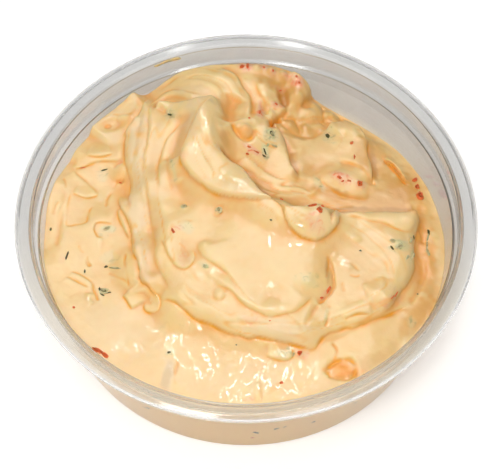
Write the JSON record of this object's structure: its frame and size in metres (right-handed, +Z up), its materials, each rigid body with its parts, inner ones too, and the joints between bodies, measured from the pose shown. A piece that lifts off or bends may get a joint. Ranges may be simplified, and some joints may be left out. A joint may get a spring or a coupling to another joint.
{
  "type": "tub of cream cheese",
  "caption": "Open round clear tub heaped with soft orange cream cheese, folded by a spatula and flecked with bits of red pepper and green onion.",
  "frame": {"origin": "centre of the tub's flat base, on the surface it stands on", "axes": "+Z up along the tub's axis, -Y towards the side the picture is taken from, +X to the right of it"},
  "size_m": [0.117, 0.117, 0.0383],
  "materials": {
    "clear_plastic": "clear, glossy, slightly grey",
    "cream": "moist, satin, warm orange cream"
  },
  "bodies": {
    "root": {"tub": "clear_plastic", "cream_cheese": "cream"}
  },
  "joints": []
}
